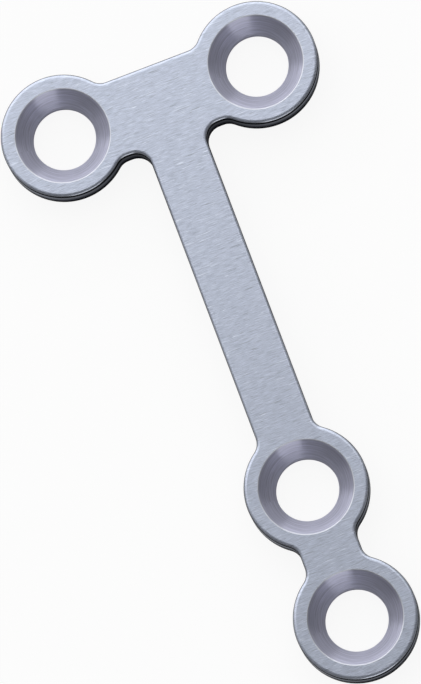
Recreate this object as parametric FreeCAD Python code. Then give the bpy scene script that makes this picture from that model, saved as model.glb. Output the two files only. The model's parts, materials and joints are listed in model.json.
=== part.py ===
import FreeCAD, Part
import math
import os

# A small T-shaped bone plate with four countersunk screw holes.
# All lengths are millimetres. The bone face lies on z = 0 and +Z points to the screw heads.
# The head lies across X at y = 0 and the shaft runs towards -Y from the middle of the head.

os.makedirs("parts", exist_ok=True)

# Driving dimensions
thickness = 1.25           # bone face to top face
hole_pitch = 5.5           # centre to centre of the two shaft holes
head_spacing = 8.1         # centre to centre of the two head holes
shaft_reach = 16.5         # head hole line to the first shaft hole
ring_diameter = 4.9        # outer diameter of the eye round each hole
bore_diameter = 2.5        # through hole that clears the screw shank
sink_diameter = 3.75       # countersink at the top face
sink_angle = 80.0          # included angle of the countersink
shaft_width = 2.35         # shaft, and the waist between the two shaft eyes
head_top = 1.4             # head bar edge on the far side of the hole line
head_bottom = 1.67         # head bar edge on the shaft side of the hole line
corner_radius = 0.65       # inside corners, as the end mill that cuts the outline leaves them
edge_radius = 0.15         # tumbled outer edges, top and bottom
lip_chamfer = 0.05         # broken edge at the rim of each countersink and bore

# Values that follow from them
ring_radius = ring_diameter / 2
bore_radius = bore_diameter / 2
sink_radius = sink_diameter / 2
sink_slope = math.tan(math.radians(sink_angle / 2))
sink_depth = (sink_radius - bore_radius) / sink_slope
head_x = head_spacing / 2
end_y = -shaft_reach - hole_pitch
hole_places = [(-head_x, 0), (head_x, 0), (0, -shaft_reach), (0, end_y)]
tiny = 1e-6


def disc(x, y, radius):
    circle = Part.makeCircle(radius, FreeCAD.Vector(x, y, 0))
    return Part.Face(Part.Wire(circle))


def bar(x_low, x_high, y_low, y_high):
    corner = FreeCAD.Vector(x_low, y_low, 0)
    return Part.makePlane(x_high - x_low, y_high - y_low, corner)


# The outline with sharp inside corners: an eye round each hole, joined by the head bar and the shaft
head_bar = bar(-head_x, head_x, -head_bottom, head_top)
shaft_bar = bar(-shaft_width / 2, shaft_width / 2, end_y, 0)
eyes = [disc(x, y, ring_radius) for x, y in hole_places]
sharp = head_bar.fuse([shaft_bar] + eyes).removeSplitter().Faces[0]

# An end mill that runs round the outline can't reach into an inside corner. Its centre runs
# along the outline moved out by its radius, and moving that path back in gives what it leaves.
mill_path = sharp.makeOffset2D(corner_radius)
milled = mill_path.makeOffset2D(-corner_radius).Faces[0]

# The blank is cut to full thickness, and the rims of both faces are rounded.
blank = milled.extrude(FreeCAD.Vector(0, 0, thickness))
rims = []
for edge in blank.Edges:
    heights = [vertex.Z for vertex in edge.Vertexes]
    on_bone_face = max(heights) < tiny
    on_top_face = min(heights) > thickness - tiny
    if on_bone_face or on_top_face:
        rims.append(edge)
plate = blank.makeFillet(edge_radius, rims)

# Each screw hole is a cylindrical land under a conical seat for the screw head.
up = FreeCAD.Vector(0, 0, 1)
overrun = 1.0
for x, y in hole_places:
    below = FreeCAD.Vector(x, y, -overrun)
    bore = Part.makeCylinder(bore_radius, thickness + 2 * overrun, below, up)
    seat_bottom = FreeCAD.Vector(x, y, thickness - sink_depth)
    seat_top_radius = sink_radius + overrun * sink_slope
    seat = Part.makeCone(bore_radius, seat_top_radius, sink_depth + overrun, seat_bottom, up)
    plate = plate.cut(bore.fuse(seat))

# The sharp rims of the holes are broken, at the top of each seat and at the bone face.
lips = []
for edge in plate.Edges:
    if not isinstance(edge.Curve, Part.Circle):
        continue
    height = edge.Curve.Center.z
    radius = edge.Curve.Radius
    seat_rim = abs(height - thickness) < tiny and abs(radius - sink_radius) < tiny
    bore_rim = abs(height) < tiny and abs(radius - bore_radius) < tiny
    if seat_rim or bore_rim:
        lips.append(edge)
plate = plate.makeChamfer(lip_chamfer, lips)

plate.exportStep("parts/bone_plate.step")
box = plate.optimalBoundingBox()
print("bone_plate volume mm3", round(plate.Volume, 3), "solids", len(plate.Solids), "valid", plate.isValid())
print("size mm", round(box.XLength, 3), round(box.YLength, 3), round(box.ZLength, 3), "broken rims", len(lips))
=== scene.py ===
# %% [markdown]
# A small bone plate, dressed for its picture
#
# The plate is milled from one sheet of titanium: a short head bar between two round eyes, a
# long straight shaft, and two more eyes at its end. Each eye holds a countersunk screw hole.
# The frame that is loaded here is the measured solid. It stays as it is, and what we make is
# a finer skin that takes its place: smoother arcs, rounded rims and finished metal.

# %% Load the measured frame
import json
import math

import bmesh
import bpy
from mathutils import Matrix, Quaternion, Vector


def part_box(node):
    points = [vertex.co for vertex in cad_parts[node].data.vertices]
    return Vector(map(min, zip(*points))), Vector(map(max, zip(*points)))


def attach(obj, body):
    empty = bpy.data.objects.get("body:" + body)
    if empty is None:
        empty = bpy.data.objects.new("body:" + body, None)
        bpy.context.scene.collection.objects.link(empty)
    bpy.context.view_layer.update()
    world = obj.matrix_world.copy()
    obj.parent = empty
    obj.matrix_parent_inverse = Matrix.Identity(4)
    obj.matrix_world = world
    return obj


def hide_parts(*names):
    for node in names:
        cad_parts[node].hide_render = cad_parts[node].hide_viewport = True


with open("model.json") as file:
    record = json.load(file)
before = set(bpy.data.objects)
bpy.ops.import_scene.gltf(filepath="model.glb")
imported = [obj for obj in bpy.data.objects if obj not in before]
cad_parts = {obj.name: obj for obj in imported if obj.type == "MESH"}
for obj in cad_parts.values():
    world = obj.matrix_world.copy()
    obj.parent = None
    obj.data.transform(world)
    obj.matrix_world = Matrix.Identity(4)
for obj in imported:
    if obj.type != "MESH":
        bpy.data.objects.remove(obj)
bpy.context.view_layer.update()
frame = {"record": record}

MM = 0.001               # Blender works in metres here, and the sizes are written in millimetres

# %% [markdown]
# What the frame already knows
#
# The places of the four screw holes are in the record as mounts, so we read them there rather
# than type them again. The eyes' size and the plate's thickness follow from the solid's box.

# %% Read the holes and the thickness
plate_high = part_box("bone_plate")[1] / MM
mounts = {mount["name"]: mount for mount in frame["record"]["mounts"]}


def hole_place(name):
    """The centre of a screw hole on the plate, in millimetres."""
    x, y, _ = mounts[name]["pos_m"]
    return Vector((x / MM, y / MM))


head_left = hole_place("head_left_hole")
head_right = hole_place("head_right_hole")
shaft_upper = hole_place("shaft_upper_hole")
shaft_end = hole_place("shaft_end_hole")
holes = [head_left, head_right, shaft_upper, shaft_end]

thickness = plate_high.z
eye_radius = plate_high.x - head_right.x
bore_radius = mounts["head_left_hole"]["dims"]["r_mm"]
print("thickness", round(thickness, 3), "eye radius", round(eye_radius, 3),
      "bore radius", bore_radius)

# %% [markdown]
# The sizes that the frame doesn't state
#
# The rest of the plate's sizes are written here once. The inside corners of the outline are
# arcs, because the end mill that cuts it can't leave a sharp one. Each arc touches an eye and
# a straight edge, so its centre lies at eye radius plus corner radius from the eye's centre.

# %% Name the other sizes and find the centres of the corner arcs
shaft_width = 2.35       # shaft, and the waist between its two eyes
head_top = 1.40          # head bar edge on the far side of the hole line
head_bottom = 1.67       # head bar edge on the shaft side of the hole line
corner_radius = 0.65     # inside corners of the outline
reach = eye_radius + corner_radius
half_shaft = shaft_width / 2


def corner_beside(eye, drop):
    """Centre of the arc that touches an eye and a level edge that lies drop below its centre."""
    rise = drop + math.copysign(corner_radius, drop)
    return Vector((eye.x - math.sqrt(reach**2 - rise**2), eye.y - rise))


def corner_along(eye, side):
    """Centre of the arc that touches an eye and the shaft's edge, above (+1) or below (-1) it."""
    across = half_shaft + corner_radius
    return Vector((across, eye.y + side * math.sqrt(reach**2 - across**2)))


top_corner = corner_beside(head_right, -head_top)
notch_outer = corner_beside(head_right, head_bottom)
notch_inner = Vector((half_shaft + corner_radius, notch_outer.y))
shaft_corner = corner_along(shaft_upper, 1)
waist_upper = corner_along(shaft_upper, -1)
waist_lower = corner_along(shaft_end, 1)
print("waist straight length", round(waist_upper.y - waist_lower.y, 3))

# %% [markdown]
# Drawing with a pencil
#
# We could type in a list of points for the outline, but Blender has tools that draw it. One
# vertex is the pencil. Spinning it round a centre leaves an arc of edges behind it, and
# extruding it leaves a straight one. An arc that turns clockwise goes round an eye, and one
# that turns the other way is an inside corner, which is much smaller and needs fewer steps.

# %% Helpers that draw arcs and lines
eye_step = 3.0           # degrees between two vertices on an eye
corner_step = 7.0        # and on an inside corner


def heading(start, end):
    """Direction from one point to another, in degrees."""
    return math.degrees(math.atan2(end.y - start.y, end.x - start.x))


def draw_arc(mesh, pencil, centre, first, last, clockwise=False):
    """Spin the pencil round centre from one heading to another."""
    sweep = (first - last) % 360 if clockwise else (last - first) % 360
    steps = round(sweep / (eye_step if clockwise else corner_step))
    axis = (0, 0, -1) if clockwise else (0, 0, 1)
    middle = Vector((centre.x * MM, centre.y * MM, pencil.co.z))
    result = bmesh.ops.spin(
        mesh, geom=[pencil], cent=middle, axis=axis, angle=math.radians(sweep), steps=max(steps, 2)
    )
    return next(item for item in result["geom_last"] if isinstance(item, bmesh.types.BMVert))


def draw_line(mesh, pencil, x, y):
    """Extrude the pencil to a new place at its own height."""
    end = bmesh.ops.extrude_vert_indiv(mesh, verts=[pencil])["verts"][0]
    end.co = Vector((x * MM, y * MM, pencil.co.z))
    return end


print("degrees between vertices:", eye_step, "on an eye,", corner_step, "in a corner")

# %% [markdown]
# The whole outline
#
# The plate is the same left and right, so only the right half is drawn, from the top of the
# head to the end of the shaft, and then mirrored. Drawn a little further in, the same path gives
# each step of a rounded rim, since every arc keeps its centre and only its radius changes. The
# drawing is done in a bmesh of its own, because the tools slow down in a full one.

# %% Helper that draws the outline
def draw_outline(mesh, inset, height):
    """The plate's outline moved in by inset, at a height. Returns its closed loop of edges."""
    sketch = bmesh.new()
    at = sketch.verts.new((0, (head_top - inset) * MM, height * MM))
    at = draw_line(sketch, at, top_corner.x, head_top - inset)
    at = draw_arc(sketch, at, top_corner, -90, heading(top_corner, head_right))
    at = draw_arc(sketch, at, head_right, heading(head_right, top_corner),
                  heading(head_right, notch_outer), clockwise=True)
    at = draw_arc(sketch, at, notch_outer, heading(notch_outer, head_right), 90)
    at = draw_line(sketch, at, notch_inner.x, inset - head_bottom)
    at = draw_arc(sketch, at, notch_inner, 90, 180)
    at = draw_line(sketch, at, half_shaft - inset, shaft_corner.y)
    at = draw_arc(sketch, at, shaft_corner, 180, heading(shaft_corner, shaft_upper))
    at = draw_arc(sketch, at, shaft_upper, heading(shaft_upper, shaft_corner),
                  heading(shaft_upper, waist_upper), clockwise=True)
    at = draw_arc(sketch, at, waist_upper, heading(waist_upper, shaft_upper), 180)
    at = draw_line(sketch, at, half_shaft - inset, waist_lower.y)
    at = draw_arc(sketch, at, waist_lower, 180, heading(waist_lower, shaft_end))
    draw_arc(sketch, at, shaft_end, heading(shaft_end, waist_lower), -90, clockwise=True)
    right_half = list(sketch.verts) + list(sketch.edges)
    bmesh.ops.mirror(sketch, geom=right_half, matrix=Matrix(), merge_dist=0.001 * MM, axis="X")
    before = set(mesh.edges)
    page = bpy.data.meshes.new("sketch")
    sketch.to_mesh(page)
    sketch.free()
    mesh.from_mesh(page)
    bpy.data.meshes.remove(page)
    return [edge for edge in mesh.edges if edge not in before]


trial = bmesh.new()
draw_outline(trial, 0, 0)
along = [vertex.co.y / MM for vertex in trial.verts]
print("outline from y", round(min(along), 2), "to", round(max(along), 2),
      "in", len(along), "points")
trial.free()

# %% [markdown]
# Skinning a stack of loops
#
# A rounded rim is a stack of outlines, each a little wider and lower than the one above, and a
# countersink is a stack of circles. Bridging each loop to the next puts a band of four-sided
# faces between them. Working this way keeps the bands even all the way round, which a bevel on
# so many short edges doesn't always do.

# %% Helpers that bridge a stack and give the steps of a rounding
def bridge_stack(mesh, loops):
    """Bridge each loop of edges to the next one. Returns one list of faces for each band."""
    return [
        bmesh.ops.bridge_loops(mesh, edges=upper + lower)["faces"]
        for upper, lower in zip(loops, loops[1:])
    ]


def rounding(across, down, steps):
    """Pairs of (distance in from the edge, drop below the face) round a quarter of an oval."""
    quarter = [math.radians(90 * step / steps) for step in range(steps + 1)]
    return [(across * (1 - math.sin(turn)), down * (1 - math.cos(turn))) for turn in quarter]


print("a quarter circle in 2 steps:", [(round(a, 2), round(b, 2)) for a, b in rounding(1, 1, 2)])

# %% [markdown]
# The outer wall
#
# The plate was tumbled after milling, which rounds its rims. The rounding reaches a little
# further over the face than down the wall, so a quarter of an oval fits it better than a
# quarter of a circle. The wall and both rims are one stack, from the top face to the bone face.

# %% Build the wall and its rims
rim_across = 0.14        # rounding of the outer edges, measured in from the wall
rim_down = 0.11          # and down from the face
rim_steps = 10

shell = bmesh.new()
rim = rounding(rim_across, rim_down, rim_steps)
levels = [(inset, thickness - drop) for inset, drop in rim]
levels += [(inset, drop) for inset, drop in reversed(rim)]
outlines = [draw_outline(shell, inset, height) for inset, height in levels]
wall_bands = bridge_stack(shell, outlines)
print("outline points", len(outlines[0]), "bands from face to face", len(wall_bands))

# %% [markdown]
# The screw holes
#
# A screw hole is a conical seat over a short straight land. Both of its sharp edges are broken,
# and the thin lip round the seat is what catches the light, so it is rounded here rather than
# cut flat. The rounding turns from the level face into the slope of the cone.

# %% Build the four holes
sink_radius = 1.875      # countersink where it meets the top face
sink_angle = 80.0        # included angle of the countersink, in degrees
lip_width = 0.03         # broken edge round each countersink and bore
lip_steps = 5
hole_segments = 96
half_angle = math.radians(sink_angle / 2)
sink_depth = (sink_radius - bore_radius) / math.tan(half_angle)


def draw_circle(mesh, centre, radius, height):
    """A circle of edges round a screw hole."""
    before = set(mesh.edges)
    place = Matrix.Translation(Vector((centre.x, centre.y, height)) * MM)
    bmesh.ops.create_circle(
        mesh, cap_ends=False, radius=radius * MM, segments=hole_segments, matrix=place)
    return [edge for edge in mesh.edges if edge not in before]


def lip(radius, slope, width):
    """Steps of an arc from a level face into a wall that falls at slope, as (radius, drop)."""
    bend = width / math.tan(slope / 2)
    turns = [slope * step / lip_steps for step in range(lip_steps + 1)]
    return [(radius + width - bend * math.sin(turn), bend * (1 - math.cos(turn))) for turn in turns]


def build_hole(mesh, centre):
    """Bridge one hole from the top face to the bone face. Returns its end loops and faces."""
    seat_lip = lip(sink_radius, math.pi / 2 - half_angle, lip_width)
    bore_lip = lip(bore_radius, math.pi / 2, lip_width)
    stack = [(radius, thickness - drop) for radius, drop in seat_lip]
    stack.append((bore_radius, thickness - sink_depth))
    stack += [(radius, drop) for radius, drop in reversed(bore_lip)]
    loops = [draw_circle(mesh, centre, radius, height) for radius, height in stack]
    return loops[0], loops[-1], bridge_stack(mesh, loops)


built = [build_hole(shell, centre) for centre in holes]
print("seat depth", round(sink_depth, 3), "land", round(thickness - sink_depth, 3))

# %% [markdown]
# The two flat faces
#
# What is left is a sheet with four holes on each side. Filling between the outline and the
# circles covers it with triangles, which is safe because the sheet is dead flat. The edges
# round each sheet are marked sharp, so that the shading of the rims and lips doesn't run on
# into the long thin triangles.

# %% Fill the top face and the bone face
def fill_sheet(mesh, outline, circles):
    """Cover the flat sheet between an outline and its holes. Returns the new faces."""
    edges = outline + [edge for circle in circles for edge in circle]
    result = bmesh.ops.triangle_fill(mesh, use_beauty=True, use_dissolve=False, edges=edges)
    return [item for item in result["geom"] if isinstance(item, bmesh.types.BMFace)]


top_faces = fill_sheet(shell, outlines[0], [top for top, _, _ in built])
bone_faces = fill_sheet(shell, outlines[-1], [bottom for _, bottom, _ in built])
bmesh.ops.recalc_face_normals(shell, faces=shell.faces)
hole_rims = [rim_loop for top, bottom, _ in built for rim_loop in (top, bottom)]
for loop in [outlines[0], outlines[-1]] + hole_rims:
    for edge in loop:
        edge.smooth = False
open_edges = [edge for edge in shell.edges if len(edge.link_faces) != 2]
print("faces", len(shell.faces), "open edges", len(open_edges),
      "volume mm3", round(shell.calc_volume() / MM**3, 2))

# %% [markdown]
# Which finish goes where, and which way its grain runs
#
# Brushed and turned metal stretches its highlights across the fine lines that the tool left.
# Blender needs to be told which way that is, and a UV map can say it: here u runs across the
# grain and v along it, both in millimetres. On the flat faces the belt ran along X, and it has
# reached over the first bands of each rim too. In the seats the cutter ran round the hole, so u
# goes down the slope and v goes round. The rest of the wall was milled.

# %% Lay the grain map and sort the faces by finish
BRUSHED, TURNED, MILLED = 0, 1, 2
brushed_steps = 5        # bands of each rim that the belt has reached
grain = shell.loops.layers.uv.new("grain")

brushed_faces = top_faces + bone_faces
for number, band in enumerate(wall_bands):
    from_face = min(number, len(wall_bands) - 1 - number)
    if from_face < brushed_steps:
        brushed_faces += band
    else:
        for face in band:
            face.material_index = MILLED

for face in brushed_faces:
    face.material_index = BRUSHED
    for corner in face.loops:
        corner[grain].uv = (corner.vert.co.y / MM, corner.vert.co.x / MM)

for centre, (_, _, bands) in zip(holes, built):
    for face in (face for band in bands for face in band):
        face.material_index = TURNED
        middle = face.calc_center_median() / MM
        facing = math.atan2(middle.y - centre.y, middle.x - centre.x)
        for corner in face.loops:
            x = corner.vert.co.x / MM - centre.x
            y = corner.vert.co.y / MM - centre.y
            swing = (math.atan2(y, x) - facing + math.pi) % math.tau - math.pi
            slope = math.hypot(x, y) + corner.vert.co.z / MM
            corner[grain].uv = (slope, (facing + swing) * bore_radius)

finishes = [face.material_index for face in shell.faces]
print("faces brushed, turned, milled:",
      [finishes.count(kind) for kind in (BRUSHED, TURNED, MILLED)])

# %% [markdown]
# Colours and nodes
#
# Colours are given as hex values, and shaders want linear light, so one function turns the
# first into the second. Another adds a node with its settings and links, which keeps each
# material short enough to read. All three finishes are one metal, so they start from the same
# shader, and two of them turn its highlights along the grain map.

# %% Helpers for materials
def linear(hex_colour):
    """Turn an sRGB hex colour such as #C0C8D4 into linear red, green, blue and alpha."""
    channels = [int(hex_colour[start:start + 2], 16) / 255 for start in (1, 3, 5)]
    bright = [c / 12.92 if c <= 0.04045 else ((c + 0.055) / 1.055) ** 2.4 for c in channels]
    return (*bright, 1.0)


def add_node(tree, kind, settings=None, inputs=None):
    """Add a node, set its properties, and set or link its inputs."""
    node = tree.nodes.new(kind)
    for name, value in (settings or {}).items():
        setattr(node, name, value)
    for name, value in (inputs or {}).items():
        if isinstance(value, bpy.types.NodeSocket):
            tree.links.new(value, node.inputs[name])
        else:
            node.inputs[name].default_value = value
    return node


def start_titanium(name, roughness, anisotropy):
    """Bare titanium with its roughness, ready for a colour. Returns material, tree and shader."""
    material = bpy.data.materials.new(name)
    material.use_nodes = True
    tree = material.node_tree
    tree.nodes.clear()
    shader = add_node(tree, "ShaderNodeBsdfPrincipled", inputs={
        "Metallic": 1.0, "Roughness": roughness, "Anisotropic": anisotropy})
    add_node(tree, "ShaderNodeOutputMaterial", inputs={"Surface": shader.outputs["BSDF"]})
    return material, tree, shader


def follow_grain(tree, shader):
    """Stretch the highlights across the grain. Returns the grain map, in millimetres."""
    tangent = add_node(tree, "ShaderNodeTangent", {"direction_type": "UV_MAP", "uv_map": "grain"})
    tree.links.new(tangent.outputs["Tangent"], shader.inputs["Tangent"])
    return add_node(tree, "ShaderNodeUVMap", {"uv_map": "grain"}).outputs["UV"]


def set_stops(ramp_node, stops):
    """Give a colour ramp its stops, as pairs of position and hex colour from left to right."""
    elements = ramp_node.color_ramp.elements
    for element, (position, colour) in zip(elements, (stops[0], stops[-1])):
        element.position = position
        element.color = linear(colour)
    for position, colour in stops[1:-1]:
        elements.new(position).color = linear(colour)


print("the middle grey #808080 is", round(linear("#808080")[0], 3), "in linear light")

# %% [markdown]
# Scratches that stand out
#
# Here and there a belt leaves a deeper line, whose shade is painted dark, or a line whose
# glint is painted bright. They run a few degrees off the other lines. Noise that is stretched
# along the grain passes slowly through its middle values and seldom reaches its ends, so its
# ends make rare lines. One noise gives both kinds: its high end the painted shade, and its low
# end the painted glints.

# %% Helper that adds scratches of painted shade and painted glints to a colour
deep_noise = (0.69, 0.79)      # noise at which a dark line starts to show, and shows in full
bright_noise = (0.31, 0.22)    # and the same for a bright line


def add_scratches(tree, uv, colour):
    """Mix rare lines of painted shade and painted glints into a colour. Returns the new colour."""
    scratches_per_mm = (32.0, 1.5, 1.0)  # about 0.03 mm wide and 0.7 mm long
    scratch_map = add_node(tree, "ShaderNodeMapping", inputs={
        "Vector": uv, "Rotation": (0, 0, math.radians(7)), "Scale": scratches_per_mm})
    scratches = add_node(tree, "ShaderNodeTexNoise", {"noise_dimensions": "2D"}, {
        "Vector": scratch_map.outputs["Vector"], "Scale": 1.0, "Detail": 1.0, "Distortion": 0.6})
    deep = add_node(tree, "ShaderNodeMapRange", inputs={
        "Value": scratches.outputs["Fac"], "From Min": deep_noise[0], "From Max": deep_noise[1]})
    bright = add_node(tree, "ShaderNodeMapRange", inputs={
        "Value": scratches.outputs["Fac"],
        "From Min": bright_noise[0], "From Max": bright_noise[1]})
    # A Mix node that mixes colours takes them at sockets 6 and 7 and gives them at 2.
    # Dark lines are painted shade in deeper grooves, and bright ones are painted glints.
    darkened = add_node(tree, "ShaderNodeMix", {"data_type": "RGBA"}, {
        0: deep.outputs["Result"], 6: colour, 7: linear("#969CA8")})
    flecked = add_node(tree, "ShaderNodeMix", {"data_type": "RGBA"}, {
        0: bright.outputs["Result"], 6: darkened.outputs[2], 7: linear("#DFE5F2")})
    return flecked.outputs[2]


print("dark lines where the noise passes", deep_noise, "and bright ones at", bright_noise)

# %% [markdown]
# Belt-brushed titanium
#
# The two flat faces were drawn over a fine abrasive belt. That gives the eye a soft bluish grey
# with hair-fine lines. Stretched noise makes them, because no two lines are alike. A belt's
# lines are about 0.01 mm apart. That is too fine to show in a picture where a millimetre is
# 25 pixels wide, so they are drawn about twice as coarse. The same noise gives the lines their
# relief, because a line that is only painted doesn't change with the light.

# %% Make the brushed finish
line_depth = 0.01        # millimetres, for the belt's lines and the cutter's rings


def brushed_titanium():
    """Soft bluish grey with fine lines along X."""
    material, tree, shader = start_titanium("brushed_titanium", roughness=0.32, anisotropy=0.5)
    uv = follow_grain(tree, shader)
    lines_per_mm = (42.0, 2.6, 1.0)      # about 0.02 mm wide and 0.4 mm long
    lines_map = add_node(tree, "ShaderNodeMapping", inputs={"Vector": uv, "Scale": lines_per_mm})
    lines = add_node(tree, "ShaderNodeTexNoise", {"noise_dimensions": "2D"}, {
        "Vector": lines_map.outputs["Vector"], "Scale": 1.0, "Detail": 3.0, "Roughness": 0.65,
        "Distortion": 0.3})
    metal = add_node(tree, "ShaderNodeValToRGB", inputs={"Fac": lines.outputs["Fac"]})
    set_stops(metal, [(0.3, "#A8AFBE"), (0.7, "#CDD4E5")])
    scratched = add_scratches(tree, uv, metal.outputs["Color"])
    tree.links.new(scratched, shader.inputs["Base Color"])
    relief = add_node(tree, "ShaderNodeBump", inputs={
        "Height": lines.outputs["Fac"], "Strength": 0.2, "Distance": line_depth * MM})
    tree.links.new(relief.outputs["Normal"], shader.inputs["Normal"])
    return material


brushed = brushed_titanium()
print(brushed.name, "nodes:", len(brushed.node_tree.nodes))

# %% [markdown]
# Turned titanium
#
# The countersink's cutter left rings round each seat. Seen from above, that gives the eye a
# seat that is bright in two wide lobes and dark between them, as on a turned lid, so the
# anisotropy is strong here. The lines are noise stretched along v, which runs round the hole,
# and a little distortion keeps them from looking like a record's groove. A cutter's rings are
# about 0.03 mm apart and would blur away, so they are drawn more than twice as coarse. The
# broken edge of the seat is painted a little lighter: a painted highlight along the lip.

# %% Make the turned finish
# The lip's painted highlight fades in between these two depths on the grain map.
lip_inner = 0.05         # below the seat's top on the grain map, where the lighter edge begins
lip_outer = 0.01         # and where it is at its lightest


def turned_titanium():
    """Faintly violet grey with rings round the hole and a painted highlight on the lip."""
    material, tree, shader = start_titanium("turned_titanium", roughness=0.38, anisotropy=0.95)
    uv = follow_grain(tree, shader)
    rings_per_mm = (13.0, 0.9, 1.0)      # about 0.08 mm apart and 1.1 mm long
    rings_map = add_node(tree, "ShaderNodeMapping", inputs={"Vector": uv, "Scale": rings_per_mm})
    rings = add_node(tree, "ShaderNodeTexNoise", {"noise_dimensions": "2D"}, {
        "Vector": rings_map.outputs["Vector"], "Scale": 1.0, "Detail": 3.0, "Roughness": 0.6,
        "Distortion": 0.4})
    metal = add_node(tree, "ShaderNodeValToRGB", inputs={"Fac": rings.outputs["Fac"]})
    set_stops(metal, [(0.3, "#B9BACC"), (0.7, "#D8D9ED")])

    # On the grain map, u is radius plus height, so the lip is where u is near its largest.
    seat_top = sink_radius + thickness
    grain_parts = add_node(tree, "ShaderNodeSeparateXYZ", inputs={"Vector": uv})
    on_lip = add_node(tree, "ShaderNodeMapRange", inputs={
        "Value": grain_parts.outputs["X"],
        "From Min": seat_top - lip_inner, "From Max": seat_top - lip_outer})
    # The lip is painted lighter here: a painted highlight along the broken edge.
    edged = add_node(tree, "ShaderNodeMix", {"data_type": "RGBA"}, {
        0: on_lip.outputs["Result"], 6: metal.outputs["Color"], 7: linear("#DEE1EA")})
    tree.links.new(edged.outputs[2], shader.inputs["Base Color"])

    relief = add_node(tree, "ShaderNodeBump", inputs={
        "Height": rings.outputs["Fac"], "Strength": 0.15, "Distance": line_depth * MM})
    tree.links.new(relief.outputs["Normal"], shader.inputs["Normal"])
    return material


turned = turned_titanium()
print(turned.name, "nodes:", len(turned.node_tree.nodes))

# %% [markdown]
# Milled and tumbled titanium, with painted reflections and shade
#
# The belt never reached the wall, which was milled and tumbled. Its colour is painted light. A
# colour ramp over the height paints a dark line under the rim and a grey band below it, which
# are painted reflections of dark surroundings and of the lit paper, and a dark foot, which is
# painted shade where the wall meets the paper. Faint streaks along the wall break it up: they
# are noise that changes quickly with height and slowly along the plate. Clean metal brightens
# to white at a glancing look, so the same painted colour goes to the specular tint, which is
# what a metal turns to at such a look, and the painted reflections and shade hold there too.
# In other light these colours stay as they are.

# %% Make the milled finish, with its painted reflections and shade
# These stops are painted light: the dark line and grey band are painted reflections, the dark foot
# painted shade.
wall_tones = [           # share of the thickness, from the bone face up, and the metal there
    (0.05, "#232428"), (0.2, "#484A50"), (0.45, "#A2A5AE"), (0.68, "#DCDFE8"),
    (0.79, "#A8ABB3"), (0.84, "#2E2F33"), (0.95, "#2E2F33"), (0.97, "#B4B8C2")]


def milled_titanium():
    """Painted reflections, dark under the rim and a grey band below it, and painted shade at the
    foot.
    """
    material, tree, shader = start_titanium("milled_titanium", roughness=0.2, anisotropy=0.0)
    where = add_node(tree, "ShaderNodeTexCoord").outputs["Object"]
    height = add_node(tree, "ShaderNodeSeparateXYZ", inputs={"Vector": where})
    level = add_node(tree, "ShaderNodeMapRange", inputs={
        "Value": height.outputs["Z"], "From Max": thickness * MM})
    bands = add_node(tree, "ShaderNodeValToRGB", inputs={"Fac": level.outputs["Result"]})
    set_stops(bands, wall_tones)

    streaks_per_mm = (0.3, 0.3, 12.0)    # about 3 mm long on the wall and 0.08 mm high
    streak_map = add_node(tree, "ShaderNodeMapping", inputs={
        "Vector": where, "Scale": [count / MM for count in streaks_per_mm]})
    streaks = add_node(tree, "ShaderNodeTexNoise", inputs={
        "Vector": streak_map.outputs["Vector"], "Scale": 1.0, "Detail": 3.0})
    strength = add_node(tree, "ShaderNodeMapRange", inputs={
        "Value": streaks.outputs["Fac"], "From Min": 0.3, "From Max": 0.7,
        "To Min": 0.7, "To Max": 1.3})
    toned = add_node(tree, "ShaderNodeVectorMath", {"operation": "SCALE"}, {
        0: bands.outputs["Color"], "Scale": strength.outputs["Result"]})
    # Base colour and specular tint both take the painted reflections and shade.
    tree.links.new(toned.outputs[0], shader.inputs["Base Color"])
    tree.links.new(toned.outputs[0], shader.inputs["Specular Tint"])
    return material


milled = milled_titanium()
print(milled.name, "nodes:", len(milled.node_tree.nodes))

# %% [markdown]
# From shell to piece
#
# The shell becomes an object with its three finishes in the order of their numbers. Smooth
# shading and a Weighted Normal modifier let the rims and lips read as round, while the big
# faces stay flat to the light. The piece then takes the place of the measured solid, which is
# hidden, and it rides on the root body.

# %% Turn the shell into a piece
plate_mesh = bpy.data.meshes.new("titanium_plate")
shell.to_mesh(plate_mesh)
shell.free()
for face in plate_mesh.polygons:
    face.use_smooth = True
for finish in (brushed, turned, milled):
    plate_mesh.materials.append(finish)
plate = bpy.data.objects.new("titanium_plate", plate_mesh)
bpy.context.scene.collection.objects.link(plate)
normals = plate.modifiers.new("even_normals", "WEIGHTED_NORMAL")
normals.mode = "FACE_AREA"
normals.weight = 100
normals.keep_sharp = True
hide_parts("bone_plate")
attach(plate, "root")
print("plate faces", len(plate_mesh.polygons), "materials", len(plate_mesh.materials))

# %% [markdown]
# The floor
#
# The plate lies on white paper. One big square is enough for it, and it is big enough that no
# view sees its edge.

# %% Lay the floor
floor_reach = 2.0        # metres from the middle to each side
floor_mesh = bpy.data.meshes.new("floor")
floor_shape = bmesh.new()
bmesh.ops.create_grid(floor_shape, x_segments=1, y_segments=1, size=floor_reach)
floor_shape.to_mesh(floor_mesh)
floor_shape.free()
floor = bpy.data.objects.new("floor", floor_mesh)
bpy.context.scene.collection.objects.link(floor)
print("floor, m:", [round(side, 2) for side in floor.dimensions])

# %% [markdown]
# The shadow on the paper
#
# A plate that is 1.25 mm thick leaves a soft shadow only a few millimetres wide. Ambient
# Occlusion can stand in for it: it measures how much of the light a point can't see. Its normal
# leans to the key lamp, so the shadow is deepest on the side away from it. The metal mirrors
# that shadow in full, which gives the walls something dark to show, while the camera sees only
# a trace of it, because the paper in the picture is white right up to the plate.

# %% Measure the shadow
shadow_reach = 4.0       # millimetres from the plate at which the shadow has faded
shadow_depth = 2.0       # power that darkens it close to the plate
key_side = (-0.15, 0.70, 0.70)
camera_lift = 0.97       # how far the camera's view of the shadow is lifted to white

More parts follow.
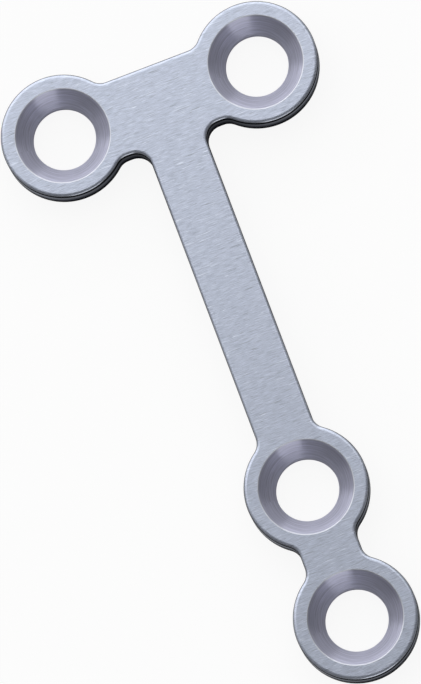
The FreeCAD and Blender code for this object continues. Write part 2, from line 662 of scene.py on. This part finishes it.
paper = bpy.data.materials.new("white_paper")
paper.use_nodes = True
tree = paper.node_tree
tree.nodes.clear()
leaning = add_node(tree, "ShaderNodeCombineXYZ", inputs=dict(enumerate(key_side)))
shelter = add_node(tree, "ShaderNodeAmbientOcclusion", {"samples": 16}, {
    "Distance": shadow_reach * MM, "Normal": leaning.outputs[0]})
shadow = add_node(tree, "ShaderNodeMath", {"operation": "POWER"}, {
    0: shelter.outputs["AO"], 1: shadow_depth})
path = add_node(tree, "ShaderNodeLightPath")
lift = add_node(tree, "ShaderNodeMath", {"operation": "MULTIPLY"}, {
    0: path.outputs["Is Camera Ray"], 1: camera_lift})
# A Mix node that mixes numbers takes them at sockets 2 and 3 and gives them at 0.
shade = add_node(tree, "ShaderNodeMix", {"data_type": "FLOAT"}, {
    0: lift.outputs[0], 2: shadow.outputs[0], 3: 1.0})
print("the shadow fades over", shadow_reach, "mm")

# %% [markdown]
# White paper
#
# Paper that looks pure white in a picture is brighter than the lamps would make it, and more
# lamps would burn out the metal. So the paper glows by itself, but only for rays that come from
# the camera or that mirror or pass through something. For all other light it is plain paper,
# and a small share of that plain paper stays in what the camera sees.

# %% Make the paper
glow_share = 0.94        # of the paper's look that is its own glow, and the rest is lit

mirrored = add_node(tree, "ShaderNodeMath", {"operation": "MAXIMUM"}, {
    0: path.outputs["Is Glossy Ray"], 1: path.outputs["Is Transmission Ray"]})
seen = add_node(tree, "ShaderNodeMath", {"operation": "MAXIMUM"}, {
    0: path.outputs["Is Camera Ray"], 1: mirrored.outputs[0]})
share = add_node(tree, "ShaderNodeMath", {"operation": "MULTIPLY"}, {
    0: seen.outputs[0], 1: glow_share})
lit = add_node(tree, "ShaderNodeBsdfDiffuse", inputs={"Color": linear("#EDEDED")})
glow = add_node(tree, "ShaderNodeEmission", inputs={
    "Color": linear("#FFFFFF"), "Strength": shade.outputs[0]})
surface = add_node(tree, "ShaderNodeMixShader", inputs={
    0: share.outputs[0], 1: lit.outputs[0], 2: glow.outputs[0]})
add_node(tree, "ShaderNodeOutputMaterial", inputs={"Surface": surface.outputs[0]})
floor_mesh.materials.append(paper)
print(paper.name, "nodes:", len(tree.nodes))

# %% [markdown]
# The lamps
#
# Bare metal shows what stands round it, so the lamps are big soft panels whose places make the
# picture. The key stands low behind the head and lights the near side of each seat. The
# overhead panel ends just where the top face would mirror it, which is why the face fades from
# the head to the shaft's end. A low panel on the shaft's side gives each seat its second lobe,
# and two dim ones keep the plate's flanks from going black in other views.

# %% Place the lamps
plate_middle = Vector((0, -0.01, 0))     # metres, like every length of the studio
panel_distance = 0.5     # from the plate to each panel that toward() places


def softbox(name, width, depth, place, target, watts):
    """A rectangular lamp that faces a target and that the camera doesn't see."""
    lamp = bpy.data.lights.new(name, "AREA")
    lamp.shape = "RECTANGLE"
    lamp.size = width
    lamp.size_y = depth
    lamp.energy = watts
    lamp_object = bpy.data.objects.new(name, lamp)
    lamp_object.location = place
    lamp_object.rotation_mode = "QUATERNION"
    lamp_object.rotation_quaternion = (place - target).to_track_quat("Z", "Y")
    lamp_object.visible_camera = False
    bpy.context.scene.collection.objects.link(lamp_object)
    print(name, "radiance", round(watts / (math.pi * width * depth), 2))


def toward(azimuth, elevation):
    """A place at panel distance from the plate, with azimuth and elevation in degrees."""
    level = math.radians(azimuth)
    up = math.radians(elevation)
    direction = Vector((
        math.cos(level) * math.cos(up), math.sin(level) * math.cos(up), math.sin(up)))
    return plate_middle + direction * panel_distance


softbox("key", 1.10, 0.38, toward(95, 20), plate_middle, 1.8)
softbox("shaft_side", 0.32, 0.24, toward(-88, 14), plate_middle, 0.32)
softbox("left", 0.40, 0.50, toward(155, 30), plate_middle, 0.16)
softbox("right", 0.40, 0.50, toward(30, 30), plate_middle, 0.16)
above_head = Vector((0, 0.184, 0.25))
softbox("overhead", 0.40, 0.30, above_head, above_head - Vector((0, 0, 0.25)), 0.52)

# %% [markdown]
# The room
#
# A dim grey world fills in whatever no panel reaches. It is far darker than the paper, because
# a bright one would flatten the metal.

# %% Set the world
room_grey = "#767676"
world = bpy.data.worlds.new("studio")
world.use_nodes = True
bpy.context.scene.world = world
tree = world.node_tree
tree.nodes.clear()
room = add_node(tree, "ShaderNodeBackground", inputs={
    "Color": linear(room_grey), "Strength": 1.0})
add_node(tree, "ShaderNodeOutputWorld", inputs={"Surface": room.outputs[0]})
print("world", room_grey)

# %% [markdown]
# The camera
#
# The picture was taken from nearly straight above, with the camera tipped toward the shaft's
# end and turned, so that the plate runs from the upper left to the lower right. The angles and
# the distance were fitted to the rims of the four seats. A lens this long keeps the ellipses of
# the seats alike, as they are in the picture.

# %% Set the camera
aim = Vector((-1.505, -9.596, 0.15)) * MM
camera_distance = 431.05 * MM
camera_elevation = math.radians(79.679)
camera_azimuth = math.radians(-85.094)
camera_roll = math.radians(-25.698)
sensor_width = 36.0
focal_pixels = 11000     # focal length in pixels of a picture that is 684 pixels high
picture_height = 684

back = Vector((
    math.cos(camera_azimuth) * math.cos(camera_elevation),
    math.sin(camera_azimuth) * math.cos(camera_elevation),
    math.sin(camera_elevation)))
lens_data = bpy.data.cameras.new("camera")
lens_data.sensor_width = sensor_width
lens_data.lens = focal_pixels * sensor_width / picture_height
lens_data.clip_start = 0.01
lens_data.clip_end = 10.0
camera = bpy.data.objects.new("camera", lens_data)
camera.location = aim + back * camera_distance
camera.rotation_mode = "QUATERNION"
camera.rotation_quaternion = back.to_track_quat("Z", "Y") @ Quaternion((0, 0, 1), camera_roll)
bpy.context.scene.collection.objects.link(camera)
bpy.context.scene.camera = camera
bpy.context.scene.view_settings.view_transform = "Standard"
print("lens, mm:", round(lens_data.lens, 1),
      "place, mm:", [round(x / MM, 1) for x in camera.location])
